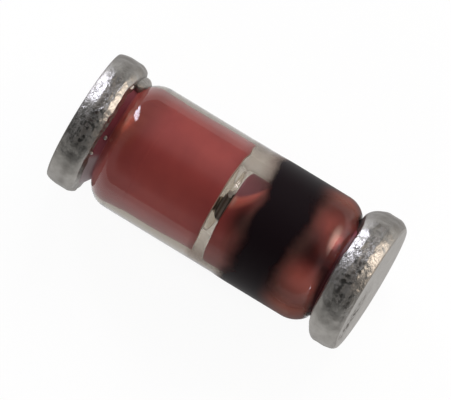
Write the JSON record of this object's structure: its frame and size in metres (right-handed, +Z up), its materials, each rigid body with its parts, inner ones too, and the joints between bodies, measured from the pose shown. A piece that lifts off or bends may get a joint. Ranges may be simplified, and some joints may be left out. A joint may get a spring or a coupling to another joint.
{
  "type": "zener diode",
  "caption": "Leadless zener diode: a clear glass sleeve sealed round oxide-red studs that pinch a silicon die, with tinned caps to solder and a black ring at the cathode end.",
  "frame": {"origin": "on the board under the middle of the part, where the caps lie", "axes": "+X along the diode's axis towards the banded cathode end, +Z up from the board"},
  "size_m": [0.0034, 0.0016, 0.0015],
  "materials": {
    "tinned_cap": "dipped tin over steel, lumpy satin",
    "oxidised_stud": "red copper oxide under glass",
    "clear_glass": "clear, fire-polished ends",
    "plated_silver": "plated silver, flattened",
    "silicon": "sawn and lapped silicon",
    "band_paint": "black enamel ring, feathered edges"
  },
  "bodies": {
    "root": {"anode_cap": "tinned_cap", "anode_stud": "oxidised_stud", "glass_sleeve": "clear_glass", "contact_bump": "plated_silver", "zener_die": "silicon", "cathode_stud": "oxidised_stud", "cathode_cap": "tinned_cap", "cathode_band": "band_paint"}
  },
  "joints": []
}
